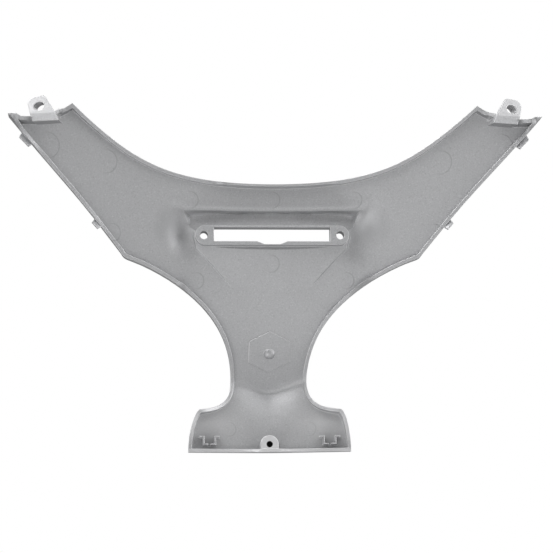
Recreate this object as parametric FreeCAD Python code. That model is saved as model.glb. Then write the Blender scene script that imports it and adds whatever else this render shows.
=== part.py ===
import FreeCAD, Part
import math
import os

# Front centre panel of a scooter: one painted plastic moulding, in millimetres.
# X runs across the panel, Z runs up, and the inner side with the screw bosses faces -Y.
# The moulding is drawn first on its own datum, the middle of the crease between neck and
# skirt, with "height" measured from there towards -Y. It is moved at the end so that the
# origin is the mouth of the lower screw boss.

V = FreeCAD.Vector

# Moulding.
wall = 2.5              # skin thickness, square to the skin
rim_width = 2.3         # thickness of the return flange
flange = 8.0            # height of the return flange over the inner face
end_flange = 4.5        # extra height of the flange across the wing ends
end_fade = 12.0         # distance over which the extra height fades
shoulder_flange = 4.0   # extra height of the flange on the skirt's shoulders
shoulder_fade = 14.0
foot_flange = 2.5       # height that the flange loses towards the foot
foot_fade = 10.0

# Outline, half of it: x outwards from the middle, z up from the crease. A "pull" is the
# length of a curve's handle, which sets how long the curve keeps its direction.
tip_x = 181.6           # outer tip of a wing
tip_z = 172.8
tip_pull = 4.3
tip_angle = 20.0        # direction of the wing's end at the tip, degrees
horn_x = 138.8          # inner corner of a wing
horn_z = 180.9
horn_pull = 56.0
horn_angle = 38.5       # direction of the upper edge at the horn
scoop_x = 165.6         # lowest point of the wing's scooped end
scoop_z = 169.4
scoop_pull = 7.0
scoop_start = 10.7      # pull of the scoop at the horn
scoop_angle = 41.0
top_z = 135.3           # middle of the upper edge
top_pull = 75.0
elbow_x = 102.5         # rounded lower corner of a wing
elbow_z = 85.8
elbow_round = 4.5
elbow_pull = 45.0
elbow_angle = 18.1      # direction of the lower edge at the elbow
neck_half = 27.1        # half width at the narrowest part of the neck
neck_z = 8.2
neck_pull_up = 35.0
neck_pull_down = 16.0
shoulder_x = 50.5       # corner where the skirt starts
shoulder_z = -14.3
shoulder_pull = 14.6
shoulder_angle = 7.0    # direction of the edge that comes in from the neck
side_pull = 5.4
side_angle = 43.0       # direction of the skirt's side at the shoulder
foot_half = 57.9
foot_z = -43.4
foot_pull = 13.4

# Skin: height of the inner face along the middle, and how it bends away to the sides.
wing_slope = 0.38       # slope of the upper panel, far above the neck
neck_slope = 0.55       # slope that the neck has on top of it
neck_run = 40.0
sweep_slope = 0.40      # slope of the wings towards their tips
sweep_round = 140.0
skirt_rise = 9.0        # height of the skirt's face over the crease
skirt_run = 12.0
skirt_sweep = 0.12
chevron_slope = 1.2     # how fast the crease climbs to the sides
chevron_round = 12.0
crease_round = 4.0

# Flat seat with the slotted frame, and the beak below it.
seat_height = 60.0
seat_low = 92.8         # lower edge of the seat at the middle
seat_top = 118.0        # upper edge of the seat at the middle
seat_bow = 2.4          # how much lower the upper edge is at its ends
seat_half = 58.0
seat_ledge = 0.8        # seat left beyond the ends of the frame
brow_splay = 0.6        # run of the seat's upper wall for each unit of its height
beak_half = 52.4        # half width of the beak where its side creases start
beak_z = 94.3
beak_tip_half = 27.8    # half width where the side creases fade out
beak_tip_z = 69.3
beak_crown = 1.4
beak_splay = 0.6
dimple = 6.0            # depth of the hollow beside each end of the frame
dimple_x = 61.0
dimple_z = 105.0
dimple_width = 10.0
dimple_length = 14.0

frame_z = 101.5
frame_half = 53.9
frame_width = 13.0
frame_height = 6.0      # over the seat
slot_half = 40.9
slot_width = 8.4
notch_top_half = 10.7
notch_foot_half = 5.4
notch_depth = 2.0
frame_screw_x = 47.9
frame_screw_bore = 5.6

# Screw boss at the foot, blind.
foot_boss_z = -37.9
foot_boss_round = 6.4
foot_boss_height = 6.0
foot_boss_bore = 4.2
foot_boss_depth = 7.0

# Hexagonal pad with a dome on the neck.
pad_z = 27.0
pad_radius = 16.9
pad_tilt = 37.0         # slope of the neck under the pad, degrees
pad_height = 0.6
dome_radius = 3.9
dome_height = 2.0

# Z-shaped guide ribs that hold a spring clip, a pair on each side of the foot.
guide_x = 42.9
guide_z = -35.3
guide_gap = 8.2
guide_length = 5.3
guide_foot = 3.1
guide_thick = 1.0
guide_height = 5.0

# Fixing ears at the wing ends.
ear_x = 160.6
ear_z = 177.3
ear_lean = 15.0         # degrees that the ear's face turns outwards
ear_drop = 8.0          # from the bore down to the flange that carries the ear
ear_rise = 1.5          # height of the ear's face over that flange
ear_foot = 9.0          # depth of the foot that seats the ear on the flange
ear_thick = 3.0
ear_edge = 7.9          # from the bore to the ear's top and outer side
ear_round = 5.3
ear_top_in = 3.1        # from the bore to the inner end of the top
ear_base_in = 13.5      # from the bore to the inner and outer ends of the base
ear_base_out = 3.2
ear_base = 11.0         # from the bore down to the base
ear_foot_high = 4.5     # height of the foot over the base
ear_bore = 7.0
ear_collar = 10.6
ear_depth = 9.0         # length of the bore through ear and collar

# Catches on the outer edges of the wings, placed by their distance up the edge from the elbow.
low_catch_at = 24.5
low_catch_length = 7.2
high_catch_at = 93.5
high_catch_length = 10.5
catch_out = 3.4
catch_taper = 0.8
catch_thick = 2.5
catch_rise = 3.5

# Reach of the helper solids past the part, and spacing of the stations that the skin is
# drawn through, which are closer together round the crease.
reach = 60.0
margin = 14.0
overrun = 5.0
grid = 6.0
crease_reach = 24.0
crease_grid = 3.0


# Height functions.

def rounded_slope(x, slope, radius):
    return slope * (math.hypot(x, radius) - radius)


def keel(z):
    return wing_slope * z + neck_slope * neck_run * math.sqrt(math.pi) / 2 * math.erf(z / neck_run)


def panel(x, z):
    return keel(z) + rounded_slope(x, sweep_slope, sweep_round)


def skirt(x, z):
    crease = rounded_slope(x, chevron_slope, chevron_round)
    fall = skirt_rise * math.exp(min((z - crease) / skirt_run, 4.0))
    return skirt_rise + rounded_slope(x, skirt_sweep, chevron_round) - fall


def hollow(x, z):
    across = (abs(x) - dimple_x) / dimple_width
    along = (z - dimple_z) / dimple_length
    return dimple * math.exp(-across * across - along * along)


def skin(x, z):
    a = panel(x, z)
    b = skirt(x, z)
    return (a + b + math.hypot(a - b, crease_round)) / 2 - hollow(x, z)


def beak(x, z):
    up = (z - beak_tip_z) / (seat_low - beak_tip_z)
    raised = seat_height - keel(seat_low) - beak_crown * (x / beak_half) ** 2
    return keel(z) + (1 - up) * rounded_slope(x, sweep_slope, sweep_round) + up * raised


def rim(x, z):
    # the flange stands taller across the wing ends and the shoulders, and lower at the foot
    across = V(tip_x - horn_x, tip_z - horn_z, 0).normalize()
    above = (z - horn_z) * across.x - (abs(x) - horn_x) * across.y
    extra = end_flange * math.exp(min(above, 0) / end_fade)
    near = math.hypot(abs(x) - shoulder_x, z - shoulder_z) / shoulder_fade
    extra += shoulder_flange * math.exp(-near * near)
    extra -= foot_flange * math.exp(-max(z - foot_z, 0) / foot_fade)
    return skin(x, z) + flange + extra


def sunk(height, depth):
    # the same face set back by a depth square to it
    step = grid / 12

    def lower(x, z):
        dx = (height(x + step, z) - height(x - step, z)) / (2 * step)
        dz = (height(x, z + step) - height(x, z - step)) / (2 * step)
        return height(x, z) - depth * math.sqrt(1 + dx * dx + dz * dz)
    return lower


# Solids from height functions and outlines.

def point(x, height, z):
    return V(x, -height, z)


def stations(low, high, step):
    count = max(2, int(math.ceil((high - low) / step)))
    return [low + (high - low) * i / count for i in range(count + 1)]


def under(height, x_half, zs):
    # solid below a height function, deep enough to pass through the part
    points = [[point(x, height(x, z), z) for z in zs] for x in stations(-x_half, x_half, grid)]
    face = Part.BSplineSurface()
    face.interpolate(points)
    return face.toShape().extrude(V(0, 3 * reach + height(x_half, zs[-1]), 0))


def panel_under(height):
    zs = stations(foot_z - margin, -crease_reach, grid)
    zs += stations(-crease_reach, crease_reach, crease_grid)[1:]
    zs += stations(crease_reach, horn_z + margin, grid)[1:]
    return under(height, tip_x + margin, zs)


def wire(*corners):
    # closed wire of straight lines in the plane of the drawing
    points = [V(x, 0, z) for x, z in corners]
    return Part.makePolygon(points + points[:1])


def slab(outline, low, high):
    # prism over an outline, between two heights
    face = Part.Face(outline)
    face.translate(V(0, -low, 0))
    return face.extrude(V(0, low - high, 0))


def mirrored(shape):
    return shape.mirror(V(0, 0, 0), V(1, 0, 0))


def both(shape):
    return [shape, mirrored(shape)]


def round_bar(x, z, radius, low, high):
    return Part.makeCylinder(radius, high - low, point(x, low, z), V(0, -1, 0))


# Outline of the moulding.

def flat(place):
    return V(place[0], 0, place[1])


def bezier(*poles):
    curve = Part.BezierCurve()
    curve.setPoles([flat(pole) for pole in poles])
    return curve.toShape()


def straight(a, b):
    return Part.LineSegment(flat(a), flat(b)).toShape()


def arc(a, middle, b):
    return Part.Arc(flat(a), flat(middle), flat(b)).toShape()


def along(start, length, degrees):
    turn = math.radians(degrees)
    return start[0] + length * math.cos(turn), start[1] + length * math.sin(turn)


def edge_direction():
    run = V(tip_x - elbow_x, tip_z - elbow_z, 0)
    return run.normalize()


def outline():
    top = (0, top_z)
    horn = (horn_x, horn_z)
    scoop = (scoop_x, scoop_z)
    tip = (tip_x, tip_z)
    elbow = (elbow_x, elbow_z)
    up = edge_direction()
    elbow_up = (elbow_x + elbow_round * up.x, elbow_z + elbow_round * up.y)
    elbow_in = along(elbow, -elbow_round, elbow_angle)
    neck = (neck_half, neck_z)
    shoulder = (shoulder_x, shoulder_z)
    foot = (foot_half, foot_z)
    half = [
        bezier(top, along(top, top_pull, 0), along(horn, -horn_pull, horn_angle), horn),
        bezier(horn, along(horn, scoop_start, -scoop_angle), along(scoop, -scoop_pull, 0), scoop),
        bezier(scoop, along(scoop, scoop_pull, 0), along(tip, -tip_pull, tip_angle), tip),
        straight(tip, elbow_up),
        bezier(elbow_up, elbow, elbow, elbow_in),
        bezier(elbow_in, along(elbow_in, -elbow_pull, elbow_angle), along(neck, neck_pull_up, 90), neck),
        bezier(neck, along(neck, -neck_pull_down, 90), along(shoulder, -shoulder_pull, -shoulder_angle), shoulder),
        bezier(shoulder, along(shoulder, side_pull, -side_angle), along(foot, foot_pull, 90), foot),
        straight(foot, (0, foot_z)),
    ]
    other = [mirrored(edge) for edge in half]
    return Part.Wire(Part.__sortEdges__(half + other))


def inset(closed, width):
    # the outline set in by a width, with each curve drawn again as one smooth curve
    ring = closed.makeOffset2D(-width, 0, False, False)
    runs = []
    for edge in ring.OrderedEdges:
        if edge.Length < width / 10:
            continue
        points = edge.discretize(int(edge.Length / 4) + 3)
        if edge.Orientation == "Reversed":
            points.reverse()
        runs.append(points)
    edges = []
    for before, points in zip(runs[-1:] + runs[:-1], runs):
        points[0] = before[-1]
        chord = points[0].distanceToPoint(points[-1])
        length = sum(a.distanceToPoint(b) for a, b in zip(points, points[1:]))
        if length < chord * 1.00001:
            edges.append(Part.LineSegment(points[0], points[-1]).toShape())
        else:
            curve = Part.BSplineCurve()
            curve.interpolate(points)
            edges.append(curve.toShape())
    return Part.Wire(edges)


# Seat, beak and the skin's two sides.

def seat_cutter(depth):
    # pocket whose floor is the seat, with a leaning wall under the brow
    sections = []
    for level in (0, reach):
        grow = depth * math.hypot(1, brow_splay) + brow_splay * level
        x = seat_half + grow
        top = seat_top - seat_bow + grow
        brow = arc((x, top), (0, seat_top + grow), (-x, top))
        foot = beak_tip_z
        lines = [straight((-x, top), (-x, foot)), straight((-x, foot), (x, foot)), straight((x, foot), (x, top))]
        section = Part.Wire([brow] + lines)
        section.translate(V(0, depth - seat_height - level, 0))
        sections.append(section)
    return Part.makeLoft(sections, True, True)


def beak_block(depth):
    # block with leaning sides through the beak's two side creases
    tip_height = skin(beak_tip_half, beak_tip_z)
    slant = math.atan2(beak_half - beak_tip_half, beak_z - beak_tip_z)
    out = V(math.cos(slant), -math.sin(slant), 0)
    side = V(1, 0, 0)
    corners = ((beak_half, seat_top, seat_height, side), (frame_half + seat_ledge, frame_z, seat_height, side),
               (beak_half, beak_z, seat_height, out), (beak_tip_half, beak_tip_z, tip_height, out))
    sections = []
    for level in (seat_height + overrun, tip_height - 4 * overrun):
        half = []
        for x, z, line, way in corners:
            grow = beak_splay * (line - level) - depth * math.hypot(1, beak_splay)
            half.append((x + grow * way.x, z + grow * way.y))
        section = wire(*(half + [(-x, z) for x, z in reversed(half)]))
        section.translate(V(0, -level, 0))
        sections.append(section)
    block = Part.makeLoft(sections, True, True)
    face = under(sunk(beak, depth), beak_half + 4 * margin,
                 stations(beak_tip_z - 2 * margin, seat_top + margin, grid))
    floor = slab(wire((-reach * 2, 0), (reach * 2, 0), (reach * 2, 2 * seat_top), (-reach * 2, 2 * seat_top)),
                 -reach, seat_height - depth)
    return block.common(face).common(floor)


def skin_body(depth):
    # everything below the panel's face, set back by a depth
    body = panel_under(sunk(skin, depth))
    return body.cut(seat_cutter(depth)).fuse(beak_block(depth))


# Features on the inner side. Each reaches down into the skin.

def slotted_frame():
    round_end = frame_width / 2
    x = frame_half - round_end
    bar = slab(wire((-x, frame_z - round_end), (x, frame_z - round_end), (x, frame_z + round_end),
                    (-x, frame_z + round_end)), 0, seat_height + frame_height)
    ends = [round_bar(s * x, frame_z, round_end, 0, seat_height + frame_height) for s in (-1, 1)]
    return bar.multiFuse(ends)


def foot_boss():
    low = -reach
    high = skin(0, foot_boss_z) + foot_boss_height
    top = round_bar(0, foot_boss_z, foot_boss_round, low, high)
    seat = foot_z + rim_width / 2
    post = slab(wire((-foot_boss_round, seat), (foot_boss_round, seat), (foot_boss_round, foot_boss_z),
                     (-foot_boss_round, foot_boss_z)), low, high)
    return top.fuse(post)


def hexagon():
    corners = []
    for i in range(6):
        turn = math.radians(60 * i + 90)
        corners.append((pad_radius * math.cos(turn),
                        pad_z + pad_radius * math.sin(turn) * math.cos(math.radians(pad_tilt))))
    return wire(*corners)


def dome():
    radius = (dome_radius ** 2 + dome_height ** 2) / (2 * dome_height)
    top = skin(0, pad_z) + pad_height + dome_height
    return Part.makeSphere(radius, point(0, top - radius, pad_z))


def guide_outline(x, turn):
    # one Z-shaped rib: a web with a foot each way
    t = guide_thick / 2
    h = guide_length / 2
    corners = ((-t, h + t), (-t, -h + t), (-guide_foot, -h + t), (-guide_foot, -h - t), (t, -h - t),
               (t, h - t), (guide_foot, h - t), (guide_foot, h + t))
    return wire(*[(x + turn * a, guide_z + b) for a, b in corners])


def raised(body, tools, height):
    # the parts of the body's face under the tools, lifted by a height
    lifted = body.copy()
    lifted.translate(V(0, -height, 0))
    return [lifted.common(tool) for tool in tools]


def inner_features(body):
    # each starts inside the skin, so that it is one with it
    middle = body.copy()
    middle.translate(V(0, wall / 2, 0))
    low = -reach
    high = 3 * reach
    hex_pad = raised(body, [slab(hexagon(), low, high)], pad_height)
    guides = []
    for turn, x in ((-1, guide_x + guide_gap / 2), (1, guide_x - guide_gap / 2)):
        guides += both(slab(guide_outline(x, turn), low, high))
    ribs = raised(body, guides, guide_height)
    return [f.cut(middle) for f in hex_pad + ribs + [dome(), foot_boss(), slotted_frame()]]


# Ears and catches.

def ear():
    # plate on the right wing's end, drawn around its bore and then leaned outwards
    middle = ear_edge - ear_round
    base_in = (-ear_base_in, -ear_base)
    base_out = (ear_base_out, -ear_base)
    top_in = (-ear_top_in, ear_edge)
    top_out = (middle, ear_edge)
    side = (ear_edge, middle)
    edge = Part.Wire([straight(base_in, top_in), straight(top_in, top_out),
                      arc(top_out, along((middle, middle), ear_round, 45), side),
                      straight(side, base_out), straight(base_out, base_in)])
    plate = slab(edge, -ear_thick, 0)
    collar = round_bar(0, 0, ear_collar / 2, -ear_depth, 0)
    low = -ear_base
    high = ear_foot_high - ear_base
    foot = slab(edge, -ear_foot, 0)
    foot = foot.common(slab(wire((-reach, low), (reach, low), (reach, high), (-reach, high)), -ear_foot, 0))
    return placed_on_ear(plate.multiFuse([collar, foot]))


def ear_hole():
    return placed_on_ear(round_bar(0, 0, ear_bore / 2, -ear_depth - margin, margin))


def placed_on_ear(shape):
    shape.rotate(V(0, 0, 0), V(0, 0, 1), ear_lean)
    shape.translate(point(ear_x, rim(ear_x, ear_z - ear_drop) + ear_rise, ear_z))
    return shape


def catches():
    up = edge_direction()
    out = V(up.y, -up.x, 0)
    found = []
    for place, length in ((low_catch_at, low_catch_length), (high_catch_at, high_catch_length)):
        start = V(elbow_x, elbow_z, 0) + up * place
        a = start - out * rim_width / 2
        b = start + out * catch_out
        lift = up * length
        level = skin(start.x, start.y) + catch_rise
        plan = [a, b + up * catch_taper, b + lift - up * catch_taper, a + lift]
        found.append(slab(wire(*[(p.x, p.y) for p in plan]), level, level + catch_thick))
    return found


# Holes.

def slot_hole():
    x = slot_half
    low = frame_z - slot_width / 2
    high = frame_z + slot_width / 2
    corners = ((-x, high), (-x, low), (-notch_top_half, low), (-notch_foot_half, low - notch_depth),
               (notch_foot_half, low - notch_depth), (notch_top_half, low), (x, low), (x, high))
    return slab(wire(*corners), 0, 3 * reach)


def holes():
    mouth = skin(0, foot_boss_z) + foot_boss_height
    found = [slot_hole(), round_bar(0, foot_boss_z, foot_boss_bore / 2, mouth - foot_boss_depth, mouth + 1)]
    for s in (-1, 1):
        found.append(round_bar(s * frame_screw_x, frame_z, frame_screw_bore / 2, 0, 3 * reach))
    return found + both(ear_hole())


def build():
    edge = outline()
    inner = skin_body(0)
    block = slab(edge, -reach, 4 * reach).common(panel_under(rim))
    cavity = slab(inset(edge, rim_width), -2 * reach, 5 * reach).cut(inner)
    shell = block.cut(cavity).cut(skin_body(wall))
    features = inner_features(inner) + both(ear())
    for catch in catches():
        features += both(catch)
    for feature in features:
        shell = shell.fuse(feature)
    for tool in holes():
        shell = shell.cut(tool)
    return shell


def main():
    panel_solid = build()
    panel_solid.translate(-point(0, skin(0, foot_boss_z) + foot_boss_height, foot_boss_z))
    os.makedirs("parts", exist_ok=True)
    panel_solid.exportStep("parts/front_center_panel.step")
    box = panel_solid.BoundBox
    print("solids", len(panel_solid.Solids), "valid", panel_solid.isValid(), "faces", len(panel_solid.Faces))
    print("size %.1f x %.1f x %.1f" % (box.XLength, box.YLength, box.ZLength), "volume %.0f" % panel_solid.Volume)


main()
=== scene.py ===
import bmesh
import bpy
import math
from mathutils import Matrix, Vector
from mathutils.bvhtree import BVHTree


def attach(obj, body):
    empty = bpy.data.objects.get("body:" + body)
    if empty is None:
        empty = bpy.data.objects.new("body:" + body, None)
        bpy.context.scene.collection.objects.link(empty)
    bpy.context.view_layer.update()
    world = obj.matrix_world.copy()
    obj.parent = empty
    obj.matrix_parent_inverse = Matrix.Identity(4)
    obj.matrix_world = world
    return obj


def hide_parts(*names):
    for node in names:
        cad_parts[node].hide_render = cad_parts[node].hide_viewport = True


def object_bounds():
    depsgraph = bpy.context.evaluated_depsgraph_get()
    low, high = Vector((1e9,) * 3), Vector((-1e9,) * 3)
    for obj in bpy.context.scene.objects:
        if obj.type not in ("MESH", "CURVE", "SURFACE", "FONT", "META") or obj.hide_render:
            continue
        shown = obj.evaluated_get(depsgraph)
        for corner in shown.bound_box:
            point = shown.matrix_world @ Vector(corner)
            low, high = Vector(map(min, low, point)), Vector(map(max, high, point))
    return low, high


# Looks of the scooter's front centre panel, seen from its inner side. Lengths are in metres.
# A place is a pair, across and up. One beside the middle stands for both sides.

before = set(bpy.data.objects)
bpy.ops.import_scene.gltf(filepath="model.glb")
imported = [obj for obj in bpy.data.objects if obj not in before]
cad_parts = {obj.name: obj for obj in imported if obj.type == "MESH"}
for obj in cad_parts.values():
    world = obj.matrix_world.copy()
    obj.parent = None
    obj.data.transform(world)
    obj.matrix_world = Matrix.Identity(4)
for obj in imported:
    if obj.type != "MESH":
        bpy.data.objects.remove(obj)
cad_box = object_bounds()

PANEL = "front_center_panel"

# Camera: a long lens a little below and to the left of the panel.
PHOTO_PIXELS = 553
SENSOR = 36.0                   # millimetres
PIXEL_SIZE = 0.0007078          # what one pixel covers at the target
CAMERA_DISTANCE = 1.5
CAMERA_AZIMUTH = -4.57          # degrees round the upright axis, 0 looks along +Y
CAMERA_ELEVATION = -11.01
CAMERA_ROLL = -0.84
TARGET = Vector((0.0042, -0.0303, 0.1156))

# The solid, as it comes.
HORN = (0.1388, 0.2188)         # inner corner of a wing's end
TIP = (0.1816, 0.2107)          # outer corner of a wing's end
ELBOW = (0.1025, 0.1237)        # lower corner of a wing
SHOULDER = (0.0505, 0.0236)     # upper corner of the skirt
FOOT_Z = -0.0055                # lower edge of the skirt
WALL = 0.0025
SLOT_Z = 0.1394                 # middle of the slot
SLOT_HALF = 0.0415              # the slot is a little shorter to each side
SEAT_HALF = 0.066               # room that holds the seat round the slot, from the slot's middle
SEAT_REACH = 0.033
EAR_IN = 0.147                  # room that holds an ear
EAR_OUT = 0.1765
EAR_DOWN = 0.2050
FOOT_BOSS = 0.012               # room that holds the foot's screw boss
RIB_MIDDLE = 0.0429             # between the two guide ribs of a pair

# Silver paint on the moulding. Most of its marks go by the place across and up alone, so they
# show on the outer side as well.
SILVER = (0.50, 0.503, 0.513, 1.0)
SILVER_DARK = (0.36, 0.362, 0.37, 1.0)
SILVER_LIGHT = (0.68, 0.684, 0.695, 1.0)
# near white, for painted highlights on edges and painted light on lit places
SILVER_HIGHLIGHT = (0.90, 0.90, 0.91, 1.0)
NEAR_BLACK = (0.03, 0.03, 0.03, 1.0)
METALLIC = 0.6
ROUGHNESS_LOW = 0.44
ROUGHNESS_HIGH = 0.52
FLAKE_SIZE = 0.0010
FLAKE_DETAIL = 3.0
FLAKE_GRAIN = 0.75
LIGHT_FLAKES = (0.55, 0.78)     # values of the noise from which a flake is light, and fully so
DARK_FLAKES = (0.45, 0.25)
MOTTLE_SIZE = 0.040
MOTTLE_DETAIL = 2.0
MOTTLE_RANGE = (0.3, 0.7)       # lowest and highest value of the slow noise
MOTTLE_SHADE = 0.10
PEEL_SIZE = 0.0016              # orange peel of the sprayed coat
PEEL_DETAIL = 1.0
PEEL_HEIGHT = 0.00003
NOISE_GRAIN = 0.5

# Paint rounds off the moulding's edges, which get a painted highlight. The brow over the seat is softer.
EDGE_ROUND = 0.0007
EDGE_SAMPLES = 8
EDGE_TURN = (0.985, 0.85)       # cosine of the edge's turn from which its painted highlight starts, and is full
EDGE_HIGHLIGHT = 0.75
BROW_ROUND = 0.0060
BROW_SAMPLES = 16
SOFT_FROM = 0.1490
SOFT_TO = 0.1690
SOFT_HALF = 0.0780
SOFT_FADE = 0.0050

# Painted light: the ears, the lip along the foot, its boss and the skirt's sides are painted lighter where
# more light falls on them.
MASK_FADE = 0.0010
EARS_FROM = 0.2115
EARS_IN = 0.1460
EAR_LIGHT = 0.35
LIP_TO = -0.0028
LIP_LIGHT = 0.45
BOSS_LIGHT = 0.65
SKIRT_TOP = 0.0340
SKIRT_MIDDLE = 0.0160
SKIRT_FOOT = -0.0010
SKIRT_IN = 0.0120
SKIRT_OUT = 0.0360
SKIRT_LIGHT = 0.42

# Places painted darker as shade: beside the frame's ends, against a lamp's highlight there, and between the
# guide ribs. Across and up, how far round, and how much darker.
SHADED_PLACES = {
    "beside_frame": (0.0690, 0.1470, 0.0160, 0.9),
    "guide_ribs": (RIB_MIDDLE, 0.0025, 0.0130, 0.9),
}
WALLS_OVER = 0.2020             # painted shade too on walls that face down, above this
WALLS_UNDER = 0.0350            # and below this
WALLS_FACE = (-0.4, -0.8)       # upward part of the normal from which it is, and fully so
SCREW_HOLE = 0.0023             # nearly black in the foot's screw hole, and also behind it
HOLE_FADE = 0.00006

# Faint rings that the mould's ejector pins left, a bump that is also painted darker as shade on each ring's
# right half, away from the light: across, up and radius.
PIN_RINGS = (
    (0.1558, 0.1949, 0.0082),
    (0.1161, 0.1872, 0.0076),
    (0.1120, 0.1409, 0.0060),
    (0.0575, 0.1649, 0.0054),
    (0.0530, 0.1114, 0.0054),
    (0.0285, 0.0114, 0.0050),
    (0.0000, 0.1657, 0.0054),
    (0.0000, 0.1228, 0.0054),
)
RING_WIDTH = 0.0006
RING_HEIGHT = 0.00006
RING_PAINTED_SHADE = 0.8

# The visible moulding is a copy of the panel's solid with its shape corrected. The seat, the
# wings and the upper edge sit higher, more so the further up, but not at the wings' tips.
LIFT = 0.0024
LIFT_START_Z = 0.100
LIFT_FULL_Z = 0.160
LIFT_FADE_X = 0.130
LIFT_END_X = 0.182

# Places that move as well: across and up, how far across and up, and how far round that reaches.
PULLS = {
    "scoop": (0.1656, 0.2073, 0.0019, 0.0020, 0.009),
    "saddle": (0.1470, 0.2132, 0.0, 0.0014, 0.008),
    "blunt_tip": (0.1774, 0.2092, 0.0, 0.0022, 0.003),
    "elbow": (*ELBOW, 0.0009, 0.0, 0.006),
}

# The brow over the seat comes down, and the slot's upper edge goes up.
BROW_Z = 0.1607
BROW_DROP = 0.0042
BROW_REACH = 0.003
BROW_FADE = 0.060
BROW_END = 0.074
SLOT_REACH = 0.0056             # the upper edge is within this above the slot's middle
SLOT_RAISE = 0.0012

# Flange round the edge: its height over the skin in the solid and in the copy, and what it has
# more at the wings' ends and at the shoulders. The solid's flange has less at the foot.
FLANGE_WAS = 0.0080
FLANGE_IS = 0.0035
END_WAS = 0.0045
END_IS = 0.0035
END_FADE = 0.012
SHOULDER_WAS = 0.0040
SHOULDER_IS = 0.0090
SHOULDER_FADE = 0.014
FOOT_WAS = 0.0025
FOOT_FADE = 0.010
RIM_REACH = 0.0027              # points of the flange are nearer to the edge than this
SKIN_REACH = WALL / 8           # the skin behind a point is felt this far round it
LEAST_HEIGHT = WALL / 4         # points lower than this over the skin stay
AROUND = 16                     # directions that are felt
BEHIND = 1.0                    # rays start this far behind the panel

# The solid's own guide ribs are inside this box. Their sides face the viewer less than RIB_SIDE.
RIBS_DOWN = -0.0010
RIBS_UP = 0.0065
RIBS_IN = 0.0350
RIBS_OUT = 0.0510
RIB_SIDE = 0.5

# Outline of the inner one of a pair of new ribs. The outer one is its mirror image.
RIB_OUTLINE = (
    (0.0357, 0.0058), (0.0393, 0.0058), (0.0393, 0.0004), (0.0419, 0.0004),
    (0.0419, -0.0005), (0.0383, -0.0005), (0.0383, 0.0047), (0.0357, 0.0047),
)
RIB_TOP = -0.0032               # their top at the pair's middle, towards the viewer
RIB_FOOT = 0.0026               # their foot is inside the wall
RIB_SLOPE = -0.118
PAD_LEVEL = 0.00168             # thin pad under them, on the skin
PAD_IN = 0.0354
PAD_OUT = 0.0504
PAD_LOW = -0.0008
PAD_HIGH = 0.0061

# Studio.
FLOOR_DROP = 1.3                # floor below the panel's lowest point
FLOOR_SIZE = 12.0
FLOOR_COLOR = (0.80, 0.80, 0.80, 1.0)
FLOOR_PALE = 0.8                # how much of the floor's look is plain white
WHITE = (1.0, 1.0, 1.0, 1.0)
AMBIENT = (0.18, 0.18, 0.18, 1.0)
LAMP_DISTANCE = 1.35
LAMP_SIZE = 1.0

# Lamps: direction from the panel as azimuth and elevation in degrees, and power in watts.
LAMPS = {
    "top_left": (-55, 40, 11.6),
    "top_right": (55, 40, 5.0),
    "top_front": (0, 40, 2.4),
    "right": (75, 0, 8.6),
    "low_left": (-55, -35, 4.8),
    "low_right": (55, -35, 1.0),
    "low_front": (0, -35, 2.0),
    "back_left": (-140, 35, 6.0),
    "back_right": (140, 35, 6.0),
}


# Node helpers.

class Nodes:
    def __init__(self, tree):
        self.tree = tree
        tree.nodes.clear()

    def add(self, kind, **values):
        node = self.tree.nodes.new(kind)
        for name, value in values.items():
            if hasattr(node, name):
                setattr(node, name, value)
            else:
                node.inputs[name].default_value = value
        return node

    def link(self, out, into):
        self.tree.links.new(out, into)

    def math(self, operation, first, second=0.0):
        node = self.add("ShaderNodeMath", operation=operation)
        for socket, value in zip(node.inputs, (first, second)):
            if isinstance(value, (int, float)):
                socket.default_value = value
            else:
                self.link(value, socket)
        return node.outputs["Value"]

    def chain(self, operation, first, *others):
        # the same operation again and again, such as a product of all the values
        for other in others:
            first = self.math(operation, first, other)
        return first


class Place:
    # sockets with the place of a shaded point on the panel

    def __init__(self, nodes):
        self.whole = nodes.add("ShaderNodeTexCoord").outputs["Object"]
        parts = nodes.add("ShaderNodeSeparateXYZ")
        nodes.link(self.whole, parts.inputs["Vector"])
        self.x, self.y, self.z = (parts.outputs[axis] for axis in "XYZ")
        self.across = nodes.math("ABSOLUTE", self.x)


def noise(nodes, place, size, detail, grain=NOISE_GRAIN):
    node = nodes.add("ShaderNodeTexNoise", Scale=1.0 / size, Detail=detail, Roughness=grain)
    nodes.link(place.whole, node.inputs["Vector"])
    return node.outputs["Fac"]


def remap(nodes, value, low, high, to_low=0.0, to_high=1.0):
    node = nodes.add("ShaderNodeMapRange")
    node.inputs["From Min"].default_value = low
    node.inputs["From Max"].default_value = high
    node.inputs["To Min"].default_value = to_low
    node.inputs["To Max"].default_value = to_high
    nodes.link(value, node.inputs["Value"])
    return node.outputs["Result"]


def above(nodes, value, level):
    return remap(nodes, value, level, level + MASK_FADE)


def below(nodes, value, level):
    return remap(nodes, value, level, level - MASK_FADE)


def mixed(nodes, factor, a, b):
    node = nodes.add("ShaderNodeMix", data_type="RGBA")
    nodes.link(factor, node.inputs[0])
    colors = [s for s in node.inputs if s.type == "RGBA"]
    for socket, value in zip(colors, (a, b)):
        if isinstance(value, tuple):
            socket.default_value = value
        else:
            nodes.link(value, socket)
    return [s for s in node.outputs if s.type == "RGBA"][0]


def distance(nodes, across, up, x, z):
    dx = nodes.math("SUBTRACT", across, x)
    dz = nodes.math("SUBTRACT", up, z)
    square = nodes.math("ADD", nodes.math("MULTIPLY", dx, dx), nodes.math("MULTIPLY", dz, dz))
    return nodes.math("SQRT", square)


# Paint.

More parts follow.
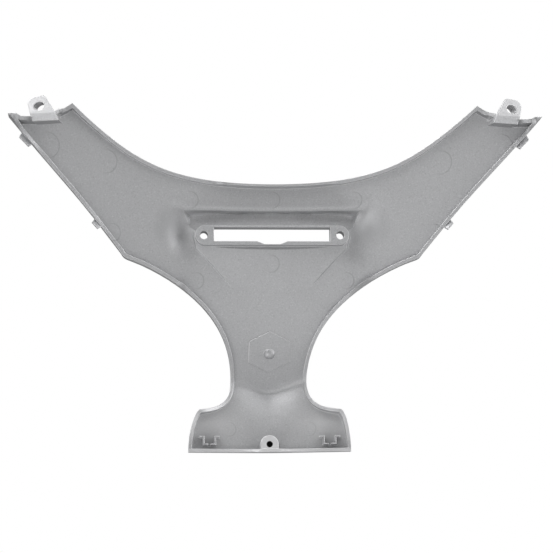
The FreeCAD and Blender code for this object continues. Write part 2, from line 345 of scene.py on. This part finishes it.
def pin_rings_and_shade(nodes, place):
    # 1 on the line of each ring, which shows in its right half only, where it is painted as shade, and 0
    # away from it
    side = nodes.math("SIGN", place.x)
    rings = []
    for x, z, radius in PIN_RINGS:
        away = nodes.math("SUBTRACT", distance(nodes, place.across, place.z, x, z), radius)
        line = remap(nodes, nodes.math("ABSOLUTE", away), 0.0, RING_WIDTH, 1.0, 0.0)
        dx = nodes.math("MULTIPLY", nodes.math("SUBTRACT", place.across, x), side)
        right = remap(nodes, dx, -radius / 2, radius / 2)
        rings.append(nodes.math("MULTIPLY", line, right))
    return nodes.chain("ADD", *rings)


def painted_shade(nodes, place, surface):
    # how much painted shade darkens the colour, at the shaded places and on the walls that face down
    spots = []
    for x, z, reach, darkness in SHADED_PLACES.values():
        spots.append(remap(nodes, distance(nodes, place.across, place.z, x, z), reach, 0.0, 0.0, darkness))
    facing = nodes.add("ShaderNodeSeparateXYZ")
    nodes.link(surface, facing.inputs["Vector"])
    down = remap(nodes, facing.outputs["Z"], *WALLS_FACE)
    where = nodes.math("MAXIMUM", above(nodes, place.z, WALLS_OVER), below(nodes, place.z, WALLS_UNDER))
    return nodes.math("MAXIMUM", nodes.chain("ADD", *spots), nodes.math("MULTIPLY", down, where))


def screw_hole(nodes, place):
    # 1 in the foot's screw hole and on the outer side behind it, and 0 elsewhere
    away = distance(nodes, place.x, place.z, 0.0, 0.0)
    return remap(nodes, away, SCREW_HOLE, SCREW_HOLE - HOLE_FADE)


def rounding(nodes, place):
    # how far the paint rounds off edges, much more along the brow over the seat
    beside = remap(nodes, place.across, SOFT_HALF, SOFT_HALF - SOFT_FADE)
    soft = nodes.chain("MULTIPLY", above(nodes, place.z, SOFT_FROM), below(nodes, place.z, SOFT_TO), beside)
    return remap(nodes, soft, 0.0, 1.0, EDGE_ROUND, BROW_ROUND)


def painted_light(nodes, place):
    # how much painted light brightens the places
    ears = nodes.chain("MULTIPLY", above(nodes, place.z, EARS_FROM), above(nodes, place.across, EARS_IN),
                       EAR_LIGHT)
    lip = nodes.math("MULTIPLY", below(nodes, place.z, LIP_TO), LIP_LIGHT)
    near = below(nodes, distance(nodes, place.x, place.z, 0.0, 0.0), FOOT_BOSS)
    front = remap(nodes, place.y, MASK_FADE, 0.0)
    boss = nodes.chain("MULTIPLY", near, front, BOSS_LIGHT)
    skirt = nodes.chain("MULTIPLY", remap(nodes, place.z, SKIRT_TOP, SKIRT_MIDDLE),
                        remap(nodes, place.z, SKIRT_FOOT, SKIRT_MIDDLE),
                        remap(nodes, place.across, SKIRT_IN, SKIRT_OUT), SKIRT_LIGHT)
    return nodes.chain("MAXIMUM", ears, lip, boss, skirt)


def painted_edge_highlight(nodes, surface):
    # how much painted highlight an edge gets, by how far the paint's rounding turns it
    rounded = nodes.add("ShaderNodeBevel", samples=EDGE_SAMPLES, Radius=EDGE_ROUND)
    turn = nodes.add("ShaderNodeVectorMath", operation="DOT_PRODUCT")
    nodes.link(rounded.outputs["Normal"], turn.inputs[0])
    nodes.link(surface, turn.inputs[1])
    return remap(nodes, turn.outputs["Value"], *EDGE_TURN, 0.0, EDGE_HIGHLIGHT)


def paint_color(nodes, place, surface, mottle, rings):
    flake = noise(nodes, place, FLAKE_SIZE, FLAKE_DETAIL, FLAKE_GRAIN)
    color = mixed(nodes, remap(nodes, flake, *DARK_FLAKES), SILVER, SILVER_DARK)
    color = mixed(nodes, remap(nodes, flake, *LIGHT_FLAKES), color, SILVER_LIGHT)
    color = mixed(nodes, remap(nodes, mottle, *MOTTLE_RANGE, 0.0, MOTTLE_SHADE), color, SILVER_DARK)
    # painted shade on the right half of the pin rings
    color = mixed(nodes, remap(nodes, rings, 0.0, 1.0, 0.0, RING_PAINTED_SHADE), color, SILVER_DARK)
    # painted shade beside the frame's ends, between the guide ribs and on walls that face down
    color = mixed(nodes, painted_shade(nodes, place, surface), color, SILVER_DARK)
    # painted light on the ears, the lip, the foot's boss and the skirt's sides
    color = mixed(nodes, painted_light(nodes, place), color, SILVER_HIGHLIGHT)
    # painted highlight along the edges
    color = mixed(nodes, painted_edge_highlight(nodes, surface), color, SILVER_HIGHLIGHT)
    return mixed(nodes, screw_hole(nodes, place), color, NEAR_BLACK)


def bumped(nodes, normal, height, relief):
    bump = nodes.add("ShaderNodeBump", Distance=relief)
    nodes.link(height, bump.inputs["Height"])
    nodes.link(normal, bump.inputs["Normal"])
    return bump.outputs["Normal"]


def paint_normal(nodes, place, rings):
    edges = nodes.add("ShaderNodeBevel", samples=BROW_SAMPLES)
    nodes.link(rounding(nodes, place), edges.inputs["Radius"])
    peel = noise(nodes, place, PEEL_SIZE, PEEL_DETAIL)
    coat = bumped(nodes, edges.outputs["Normal"], peel, PEEL_HEIGHT)
    return bumped(nodes, coat, rings, RING_HEIGHT)


def silver_paint():
    material = bpy.data.materials.new("silver_paint")
    material.use_nodes = True
    nodes = Nodes(material.node_tree)
    output = nodes.add("ShaderNodeOutputMaterial")
    shader = nodes.add("ShaderNodeBsdfPrincipled", Metallic=METALLIC)
    place = Place(nodes)
    surface = nodes.add("ShaderNodeNewGeometry").outputs["Normal"]
    mottle = noise(nodes, place, MOTTLE_SIZE, MOTTLE_DETAIL)
    rings = pin_rings_and_shade(nodes, place)
    rough = remap(nodes, mottle, *MOTTLE_RANGE, ROUGHNESS_LOW, ROUGHNESS_HIGH)
    nodes.link(rough, shader.inputs["Roughness"])
    nodes.link(paint_color(nodes, place, surface, mottle, rings), shader.inputs["Base Color"])
    nodes.link(paint_normal(nodes, place, rings), shader.inputs["Normal"])
    nodes.link(shader.outputs["BSDF"], output.inputs["Surface"])
    return material


# Studio.

def pale_floor():
    # paler where the camera sees it than where its light falls on the panel
    material = bpy.data.materials.new("pale_floor")
    material.use_nodes = True
    nodes = Nodes(material.node_tree)
    output = nodes.add("ShaderNodeOutputMaterial")
    shader = nodes.add("ShaderNodeBsdfDiffuse", Color=FLOOR_COLOR)
    seen = nodes.add("ShaderNodeEmission", Color=WHITE)
    path = nodes.add("ShaderNodeLightPath")
    pale = remap(nodes, path.outputs["Is Camera Ray"], 0.0, 1.0, 0.0, FLOOR_PALE)
    mix = nodes.add("ShaderNodeMixShader")
    nodes.link(pale, mix.inputs[0])
    nodes.link(shader.outputs["BSDF"], mix.inputs[1])
    nodes.link(seen.outputs["Emission"], mix.inputs[2])
    nodes.link(mix.outputs["Shader"], output.inputs["Surface"])
    return material


def studio_world():
    # white where the camera sees it, and a dim even light otherwise
    world = bpy.data.worlds.new("studio")
    bpy.context.scene.world = world
    world.use_nodes = True
    nodes = Nodes(world.node_tree)
    output = nodes.add("ShaderNodeOutputWorld")
    path = nodes.add("ShaderNodeLightPath")
    ambient = nodes.add("ShaderNodeBackground", Color=AMBIENT)
    white = nodes.add("ShaderNodeBackground", Color=WHITE)
    mix = nodes.add("ShaderNodeMixShader")
    nodes.link(path.outputs["Is Camera Ray"], mix.inputs[0])
    nodes.link(ambient.outputs["Background"], mix.inputs[1])
    nodes.link(white.outputs["Background"], mix.inputs[2])
    nodes.link(mix.outputs["Shader"], output.inputs["Surface"])


def shown(name, data):
    thing = bpy.data.objects.new(name, data)
    bpy.context.scene.collection.objects.link(thing)
    return thing


def direction(azimuth, elevation):
    # unit vector from the panel, where azimuth 0 is straight in front of its inner side
    turn = math.radians(azimuth)
    rise = math.radians(elevation)
    return Vector((math.sin(turn) * math.cos(rise), -math.cos(turn) * math.cos(rise), math.sin(rise)))


def floor(lowest):
    half = FLOOR_SIZE / 2
    mesh = bpy.data.meshes.new("floor")
    corners = [(x, y, lowest) for x, y in ((-half, -half), (half, -half), (half, half), (-half, half))]
    mesh.from_pydata(corners, [], [range(len(corners))])
    mesh.materials.append(pale_floor())
    shown("floor", mesh)


def softbox(name, azimuth, elevation, power):
    # a square lamp that faces the target
    data = bpy.data.lights.new(name, "AREA")
    data.shape = "SQUARE"
    data.size = LAMP_SIZE
    data.energy = power
    lamp = shown(name, data)
    out = direction(azimuth, elevation)
    lamp.location = TARGET + LAMP_DISTANCE * out
    lamp.rotation_euler = (-out).to_track_quat("-Z", "Y").to_euler()


def camera():
    data = bpy.data.cameras.new("camera")
    data.sensor_width = SENSOR
    data.lens = SENSOR * CAMERA_DISTANCE / PIXEL_SIZE / PHOTO_PIXELS
    ahead = -direction(CAMERA_AZIMUTH, CAMERA_ELEVATION)
    facing = ahead.to_track_quat("-Z", "Y").to_matrix()
    roll = Matrix.Rotation(math.radians(CAMERA_ROLL), 3, "Z")
    eye = shown("camera", data)
    eye.matrix_world = Matrix.Translation(TARGET - ahead * CAMERA_DISTANCE) @ (facing @ roll).to_4x4()
    bpy.context.scene.camera = eye


# Moulding.

def ramp(value, start, end):
    part = min(max((value - start) / (end - start), 0.0), 1.0)
    return part * part * (3 - 2 * part)


def bell(away, reach):
    return math.exp(-(away / reach) ** 2)


def shifted(point):
    # where a point of the copy goes, by its place across and up
    side = math.copysign(1.0, point.x)
    x = abs(point.x)
    z = point.z
    out = 0.0
    up = LIFT * ramp(z, LIFT_START_Z, LIFT_FULL_Z) * (1 - ramp(x, LIFT_FADE_X, LIFT_END_X))
    for pull_x, pull_z, pull_out, pull_up, reach in PULLS.values():
        near = bell(math.hypot(x - pull_x, z - pull_z), reach)
        out += pull_out * near
        up += pull_up * near
    up -= BROW_DROP * bell(z - BROW_Z, BROW_REACH) * (1 - ramp(x, BROW_FADE, BROW_END))
    if x < SLOT_HALF and 0 < z - SLOT_Z < SLOT_REACH:
        up += SLOT_RAISE
    return Vector((point.x + side * out, point.y, max(z + up, FOOT_Z)))


def off_line(x, z, start, end):
    # distance of a place from the line through two corners, positive over it and negative under it
    run = Vector((end[0] - start[0], end[1] - start[1])).normalized()
    return (z - start[1]) * run.x - (x - start[0]) * run.y


def flange_ratio(x, z):
    # new height of the flange over its height in the solid
    end = math.exp(min(off_line(x, z, HORN, TIP), 0.0) / END_FADE)
    shoulder = bell(math.hypot(x - SHOULDER[0], z - SHOULDER[1]), SHOULDER_FADE)
    foot = math.exp(-max(z - FOOT_Z, 0.0) / FOOT_FADE)
    was = FLANGE_WAS + END_WAS * end + SHOULDER_WAS * shoulder - FOOT_WAS * foot
    return (FLANGE_IS + END_IS * end + SHOULDER_IS * shoulder) / was


class Skin:
    # feels the solid's outer side from behind

    def __init__(self, mesh):
        self.tree = BVHTree.FromBMesh(mesh)

    def at(self, x, z):
        hit = self.tree.ray_cast(Vector((x, BEHIND, z)), Vector((0.0, -1.0, 0.0)))
        return hit[0]

    def round(self, x, z, reach):
        hits = []
        for i in range(AROUND):
            turn = 2 * math.pi * i / AROUND
            hits.append(self.at(x + reach * math.cos(turn), z + reach * math.sin(turn)))
        return hits


def kept_room(x, z):
    # the rooms of the seat, the ears and the foot's boss, whose points keep their height
    in_seat = x < SEAT_HALF and abs(z - SLOT_Z) < SEAT_REACH
    in_ear = EAR_IN < x < EAR_OUT and z > EAR_DOWN
    in_boss = x < FOOT_BOSS and z < FOOT_BOSS
    return in_seat or in_ear or in_boss


def on_rim(x, z, skin):
    # near the edge, or on the flange of the straight side, where the catches hide the edge
    return not all(skin.round(x, z, RIM_REACH)) or abs(off_line(abs(x), z, ELBOW, TIP)) < RIM_REACH


def lower_flange(mesh, skin):
    moves = []
    for vert in mesh.vertices:
        x, y, z = vert.co
        if kept_room(abs(x), z) or not on_rim(x, z, skin):
            continue
        hits = [hit.y for hit in skin.round(x, z, SKIN_REACH) if hit]
        if not hits:
            continue
        height = sum(hits) / len(hits) - y - WALL
        if height > LEAST_HEIGHT:
            moves.append((vert, height * (1 - flange_ratio(abs(x), z))))
    for vert, move in moves:
        vert.co.y += move


def in_ribs(face):
    # a side or the top of one of the solid's own ribs, but not the skin between them
    inside = all(RIBS_IN < abs(vert.co.x) < RIBS_OUT and RIBS_DOWN < vert.co.z < RIBS_UP
                 for vert in face.verts)
    return inside and (abs(face.normal.y) < RIB_SIDE or face.calc_center_median().y < 0)


def without_ribs(data):
    form = bmesh.new()
    form.from_mesh(data)
    form.normal_update()
    bmesh.ops.delete(form, geom=[face for face in form.faces if in_ribs(face)], context="FACES")
    form.to_mesh(data)


def moulding(paint):
    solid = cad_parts[PANEL]
    form = bmesh.new()
    form.from_mesh(solid.data)
    data = solid.data.copy()
    without_ribs(data)
    lower_flange(data, Skin(form))
    for vert in data.vertices:
        vert.co = shifted(vert.co)
    data.materials.clear()
    data.materials.append(paint)
    piece = shown("moulding", data)
    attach(piece, "root")
    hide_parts(PANEL)


# Guide ribs.

def sloped(level, across):
    # the ribs and pads follow the slope of the skirt
    return level + RIB_SLOPE * (across - RIB_MIDDLE)


def rib(form, side, outer):
    rings = []
    for level in (RIB_FOOT, RIB_TOP):
        ring = []
        for x, z in RIB_OUTLINE:
            across = 2 * RIB_MIDDLE - x if outer else x
            ring.append(form.verts.new((side * across, sloped(level, across), z)))
        rings.append(ring)
        form.faces.new(ring)
    count = len(RIB_OUTLINE)
    for i in range(count):
        j = (i + 1) % count
        form.faces.new((rings[0][i], rings[0][j], rings[1][j], rings[1][i]))


def pad(form, side):
    corners = []
    for x, z in ((PAD_IN, PAD_LOW), (PAD_OUT, PAD_LOW), (PAD_OUT, PAD_HIGH), (PAD_IN, PAD_HIGH)):
        corners.append(form.verts.new((side * x, sloped(PAD_LEVEL, x), z)))
    form.faces.new(corners if side > 0 else corners[::-1])


def guide_ribs(paint):
    form = bmesh.new()
    for side in (1, -1):
        for outer in (False, True):
            rib(form, side, outer)
    bmesh.ops.recalc_face_normals(form, faces=form.faces)
    for side in (1, -1):
        pad(form, side)
    data = bpy.data.meshes.new("guide_ribs")
    form.to_mesh(data)
    data.materials.append(paint)
    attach(shown("guide_ribs", data), "root")


silver = silver_paint()
moulding(silver)
guide_ribs(silver)
floor(cad_box[0][2] - FLOOR_DROP)
studio_world()
for lamp_name, (lamp_azimuth, lamp_elevation, lamp_power) in LAMPS.items():
    softbox(lamp_name, lamp_azimuth, lamp_elevation, lamp_power)
camera()
bpy.context.scene.view_settings.view_transform = "Standard"
